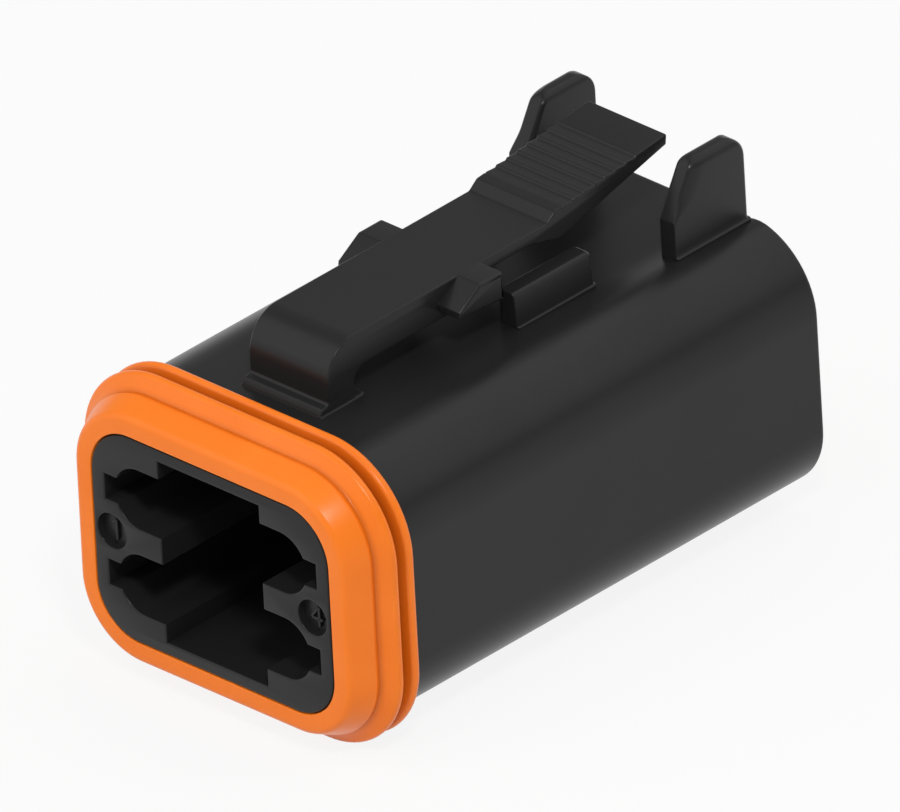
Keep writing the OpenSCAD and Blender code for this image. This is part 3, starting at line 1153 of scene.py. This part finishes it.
@dataclass
class NoseSeal:
    """Silicone ring round the nose: flat face, taper, shallow valley and two soft lips.

    Corners hold the distance from the nose, the distance from the mating face and a radius.
    """

    lip_r: float = 0.34
    lip_stretch: float = 1.1
    lip_turn: tuple[float, float] = (-72.0, 78.0)
    lips: tuple[float, float] = (2.94, 4.39)
    reach: float = 3.2
    tail: tuple[float, float] = (1.9, 4.8)
    taper: tuple[Corner, ...] = (
        (0.02, 4.8, 0.0), (0.02, 0.45, 0.1), (0.1, 0.0, 0.08), (1.40, 0.0, 0.55),
        (2.19, 1.72, 0.26), (2.06, 2.16, 0.22), (2.5, 2.5, 0.0),
    )
    groove: tuple[Corner, ...] = ((2.5, 3.4, 0.0), (1.35, 3.54, 0.1), (1.35, 3.78, 0.1), (2.5, 4.0, 0.0))

    def profile(self) -> Array:
        """Closed section: distance from the nose against distance from the mating face.

        The last corner of the taper and both end corners of the groove only set a direction, and
        the lips take their places.

        Returns:
            The section's points.
        """
        centre = self.reach - self.lip_r
        radii = (self.lip_r, self.lip_r * self.lip_stretch)
        first, second = (arc((centre, y), radii, *self.lip_turn, 17) for y in self.lips)
        taper, groove = fillet(self.taper)[:-2], fillet(self.groove)[1:-1]
        return tidy(np.vstack([taper, first, groove, second, [self.tail]]))

    def build(self) -> bpy.types.Object:
        """Carries the section round the nose, each point along the nose outline's normal.

        Returns:
            The new object.
        """
        width, height, r = NOSE_SIZE
        base = rounded_section(width, height, r, r)
        normal = rounded_section(width + 2, height + 2, r + 1, r + 1) - base
        section = self.profile()
        ring = base[None] + section[:, 0, None, None] * normal[None]
        along = np.broadcast_to(section[:, 1, None], ring.shape[:2])
        skin = Skin()
        skin.grid(np.stack([ring[..., 0], along, ring[..., 1]], axis=-1), close_rows=True)
        return skin.build("nose_seal", 50.0)

    def dress(self, orange: bpy.types.Material) -> None:
        """Puts the orange seal on the plug, in place of the plain ring."""
        nose_seal = fit(self.build(), orange, Ride.PLUG)
        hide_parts("front_seal")


@dataclass
class WireSeal:
    """Ribbed silicone block in the rear pocket, with four ringed wire holes."""

    length: float = 9.0
    corner: tuple[float, float] = (3.9, 3.5)
    rings: int = 61
    drop: float = 0.5
    slack: float = 0.06
    end_drop: float = 0.15
    rib_places: tuple[float, ...] = (1.5, 4.5, 7.5)
    rib_half: float = 0.5
    wide_r: float = 1.6
    ring_r: float = 1.0
    ring_places: tuple[float, ...] = (1.4, 4.5, 7.6)
    ring_half: float = 0.45
    mouth_flare: float = 0.25
    mouth_fade: float = 0.22

    def bells(self, y: Array, places: Sequence[float], half: float) -> Array:
        """Sum of flat-topped bell curves exp(-((y - place) / half)^4), held at 1."""
        return np.clip(sum(np.exp(-(((y - place) / half) ** 4)) for place in places), 0.0, 1.0)

    def block_ring(self, y: float, depth: float) -> Array:
        """Ring of the block at y, inset by depth from the pocket's wall.

        Args:
            y: Distance from the front of the block.
            depth: Distance inwards from the wall.

        Returns:
            The ring of points.
        """
        width, height = (size - 2 * (WALL + depth) for size in BODY_SIZE)
        ring = rounded_section(width, height, self.corner[0] - depth, self.corner[1] - depth)
        return lay_out(ring, Lay.ALONG, POCKET_FRONT + y)

    def build(self) -> bpy.types.Object:
        """Builds the block with its ribs and its holes.

        The block's side rises at its ribs and each hole narrows at its rings, by bell curves. A hole
        flares by an exponential towards both of its mouths.

        Returns:
            The new object.
        """
        skin = Skin()
        y = np.linspace(0.0, self.length, self.rings)
        depth = self.drop - (self.drop - self.slack) * self.bells(y, self.rib_places, self.rib_half)
        depth[[0, -1]] += self.end_drop
        block = np.stack([self.block_ring(a, d) for a, d in zip(y, depth)])
        skin.grid(block)
        radius = self.wide_r - (self.wide_r - self.ring_r) * self.bells(y, self.ring_places, self.ring_half)
        near, far = np.exp(-y / self.mouth_fade), np.exp((y - self.length) / self.mouth_fade)
        radius += self.mouth_flare * (near + far)
        holes = []
        for centre in CONTACT_PLACES:
            hole = [lay_out(ring_of(centre, r), Lay.ALONG, POCKET_FRONT + a) for a, r in zip(y, radius)]
            skin.grid(np.stack(hole))
            holes.append(hole)
        skin.cap(block[0], [hole[0] for hole in holes])
        skin.cap(block[-1], [hole[-1] for hole in holes])
        return skin.build("wire_seal_block", 45.0)

    def dress(self, orange: bpy.types.Material) -> None:
        """Puts the orange seal into the plug's pocket, in place of the plain block."""
        wire_seal = fit(self.build(), orange, Ride.PLUG)
        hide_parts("wire_seal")


@dataclass
class PositionNumeral:
    """Small raised numeral on the floor of a round recess, drawn with straight strokes.

    Points joins the strokes' ends (x, z) into one line, from the middle of the recess.
    """

    name: str
    centre: float
    points: tuple[tuple[float, float], ...]
    half_stroke: float = 0.1
    floor: float = 0.62
    face: float = 0.36
    edge: float = 0.05

    def build(self) -> bpy.types.Object:
        """Builds each stroke as a slab with round ends and soft rims.

        Returns:
            The new object.
        """
        skin = Skin()
        r = self.half_stroke
        for (x0, z0), (x1, z1) in zip(self.points, self.points[1:]):
            turn = math.degrees(math.atan2(z1 - z0, x1 - x0))
            outline = np.vstack([
                arc((self.centre + x1, z1), (r, r), turn - 90, turn + 90, 9),
                arc((self.centre + x0, z0), (r, r), turn + 90, turn + 270, 9),
            ])
            skin.slab(outline, Lay.ALONG, self.face, self.floor, (self.edge, 0.0))
        return skin.build(self.name)

    def dress(self, black: bpy.types.Material) -> None:
        """Puts the black numeral on the plug."""
        fit(self.build(), black, Ride.PLUG)


# ---- stage


@dataclass(frozen=True)
class Lamp:
    """Soft square lamp that faces the plug, in metres and watts."""

    name: str
    place: tuple[float, float, float]
    size: float
    power: float
    aim: tuple[float, float, float] = (0.0, 0.0, 0.012)

    def build(self) -> None:
        """Adds the lamp to the scene."""
        data = bpy.data.lights.new(self.name, "AREA")
        data.shape = "SQUARE"
        data.size = self.size
        data.energy = self.power
        lamp = bpy.data.objects.new(self.name, data)
        turn = (Vector(self.aim) - Vector(self.place)).to_track_quat("-Z", "Y").to_matrix().to_4x4()
        lamp.matrix_world = Matrix.Translation(self.place) @ turn
        bpy.context.scene.collection.objects.link(lamp)


@dataclass(frozen=True)
class Studio:
    """Pale floor, even sky, soft lamps and the camera.

    The camera looks at a point that lies centre_right to its right and centre_up above the origin
    of the plug frame, and centre_ahead beyond it, in millimetres. Angles are in degrees, and the
    view's width, the distance and the floor's reach in metres.
    """

    azimuth: float = 45.0
    elevation: float = 30.0
    roll: float = 3.15
    view_width: float = 0.05681
    centre_right: float = 15.019
    centre_up: float = 10.640
    centre_ahead: float = 10.0
    distance: float = 0.4
    clip: tuple[float, float] = (0.01, 10.0)
    horizon_level: float = 1.0
    sky_level: float = 0.38
    sky_span: tuple[float, float] = (0.03, 0.22)
    floor_reach: float = 3.0
    floor_tone: float = 0.72
    floor_show: float = 0.12
    lamps: tuple[Lamp, ...] = (
        Lamp("key_lamp", (0.205, -0.165, 0.33), 0.05, 0.62),
        Lamp("front_lamp", (-0.22, -0.42, 0.36), 0.70, 1.60),
        Lamp("back_lamp", (0.10, 0.26, 0.36), 0.55, 0.80),
    )

    def camera(self) -> None:
        """Makes the camera: straight-lined, turned about its own axis by the roll."""
        a, e, r = (math.radians(v) for v in (self.azimuth, self.elevation, self.roll))
        back = Vector((math.sin(a) * math.cos(e), -math.cos(a) * math.cos(e), math.sin(e)))
        level = Vector((math.cos(a), math.sin(a), 0.0))
        rise = back.cross(level)
        right = math.cos(r) * level - math.sin(r) * rise
        up = math.sin(r) * level + math.cos(r) * rise
        origin = Vector((0.0, -BODY_LENGTH / 2, AXIS_HEIGHT))
        aim = origin + right * self.centre_right + up * self.centre_up - back * self.centre_ahead
        data = bpy.data.cameras.new("studio_camera")
        data.type = "ORTHO"
        data.ortho_scale = self.view_width
        data.clip_start, data.clip_end = self.clip
        camera = bpy.data.objects.new("studio_camera", data)
        turn = Matrix((right, up, back)).transposed().to_4x4()
        camera.matrix_world = Matrix.Translation(aim * MILLIMETRE + back * self.distance) @ turn
        bpy.context.scene.collection.objects.link(camera)
        bpy.context.scene.camera = camera

    def floor(self) -> None:
        """Makes the pale floor, which shows white but keeps a soft share of the shadow."""
        mesh = bpy.data.meshes.new("pale_floor")
        far = self.floor_reach
        mesh.from_pydata([(-far, -far, 0), (far, -far, 0), (far, far, 0), (-far, far, 0)], [], [(0, 1, 2, 3)])
        floor = bpy.data.objects.new("pale_floor", mesh)
        bpy.context.scene.collection.objects.link(floor)
        material, wiring, surface = blank_material("pale_floor")
        matte = wiring.node("ShaderNodeBsdfDiffuse", Color=(*[self.floor_tone] * 3, 1.0))
        glow = wiring.node("ShaderNodeEmission", Strength=1.0)
        path = wiring.node("ShaderNodeLightPath")
        seen = path.outputs["Is Camera Ray"]
        for kind in ("Is Glossy Ray", "Is Transmission Ray"):
            seen = wiring.calculate("MAXIMUM", seen, path.outputs[kind])
        share = wiring.calculate("MULTIPLY", seen, 1.0 - self.floor_show)
        mix = wiring.node("ShaderNodeMixShader", Fac=share)
        wiring.tree.links.new(matte.outputs[0], mix.inputs[1])
        wiring.tree.links.new(glow.outputs[0], mix.inputs[2])
        wiring.tree.links.new(mix.outputs[0], surface)
        mesh.materials.append(material)

    def sky(self) -> None:
        """Lights the scene evenly from all round: white at the horizon, a calmer grey overhead."""
        world = bpy.data.worlds.new("pale_sky")
        world.use_nodes = True
        wiring = Wiring(world.node_tree)
        place = wiring.node("ShaderNodeTexCoord").outputs["Generated"]
        height = wiring.node("ShaderNodeSeparateXYZ", Vector=place).outputs["Z"]
        level = wiring.ramp(height, self.sky_span, (self.horizon_level, self.sky_level), soft=True)
        background = world.node_tree.nodes["Background"]
        background.inputs["Color"].default_value = (1.0, 1.0, 1.0, 1.0)
        wiring.feed(background.inputs["Strength"], level)
        bpy.context.scene.world = world

    def build(self) -> None:
        """Builds the whole stage."""
        self.camera()
        self.sky()
        self.floor()
        for lamp in self.lamps:
            lamp.build()
        bpy.context.scene.view_settings.view_transform = "Standard"
        LOG.info("studio ready")


# ---- main


def corners(box: tuple[Vector, Vector]) -> list[list[float]]:
    """A box's two corners as plain lists."""
    return [list(box[0]), list(box[1])]


def main() -> None:
    """Builds every piece in order."""
    logging.basicConfig(level=logging.INFO, format="%(name)s: %(message)s")
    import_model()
    black = BlackMoulding().material()
    orange = OrangeSilicone().material()
    lipped = LippedSilicone().material()

    HousingShell().dress(black)
    for side, word in ((-1.0, "left"), (1.0, "right")):
        GuardFin(f"guard_fin_{word}", side).dress(black)
        GuardRail(f"guard_rail_{word}", side).dress(black)
    LatchRoot().dress(black)
    SnapLatch().dress(black)
    NoseSeal().dress(lipped)
    WireSeal().dress(orange)
    PositionNumeral("numeral_one", -8.7, ((0.05, -0.72), (0.05, 0.72), (-0.28, 0.45))).dress(black)
    four = ((0.25, -0.72), (0.25, 0.72), (-0.45, -0.22), (0.48, -0.22))
    PositionNumeral("numeral_four", 8.7, four).dress(black)

    Studio().build()


if __name__ == "__main__":
    main()
